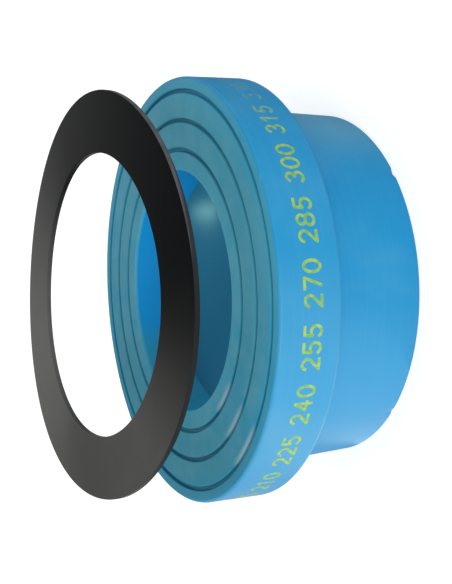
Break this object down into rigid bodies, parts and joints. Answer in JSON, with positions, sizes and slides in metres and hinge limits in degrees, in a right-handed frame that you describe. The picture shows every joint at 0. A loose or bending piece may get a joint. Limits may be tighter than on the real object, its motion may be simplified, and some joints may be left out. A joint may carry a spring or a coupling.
{
  "type": "flange adapter",
  "caption": "Short plastic pipe fitting that joins a welded-in pipe to a flange: a socket for heat fusion behind a thick collar with a grooved sealing face, and its flat rubber gasket",
  "frame": {"origin": "centre of the open socket end, on the surface that the adapter stands on", "axes": "+Z runs along the pipe axis from the socket end to the sealing face; X and Y lie across it"},
  "size_m": [0.128, 0.128, 0.0816],
  "materials": {
    "blue_polypropylene": "satin moulded, with a finely turned sealing face",
    "black_rubber": "matt"
  },
  "bodies": {
    "root": {"flange_collar": "blue_polypropylene", "gasket": "black_rubber"}
  },
  "joints": []
}
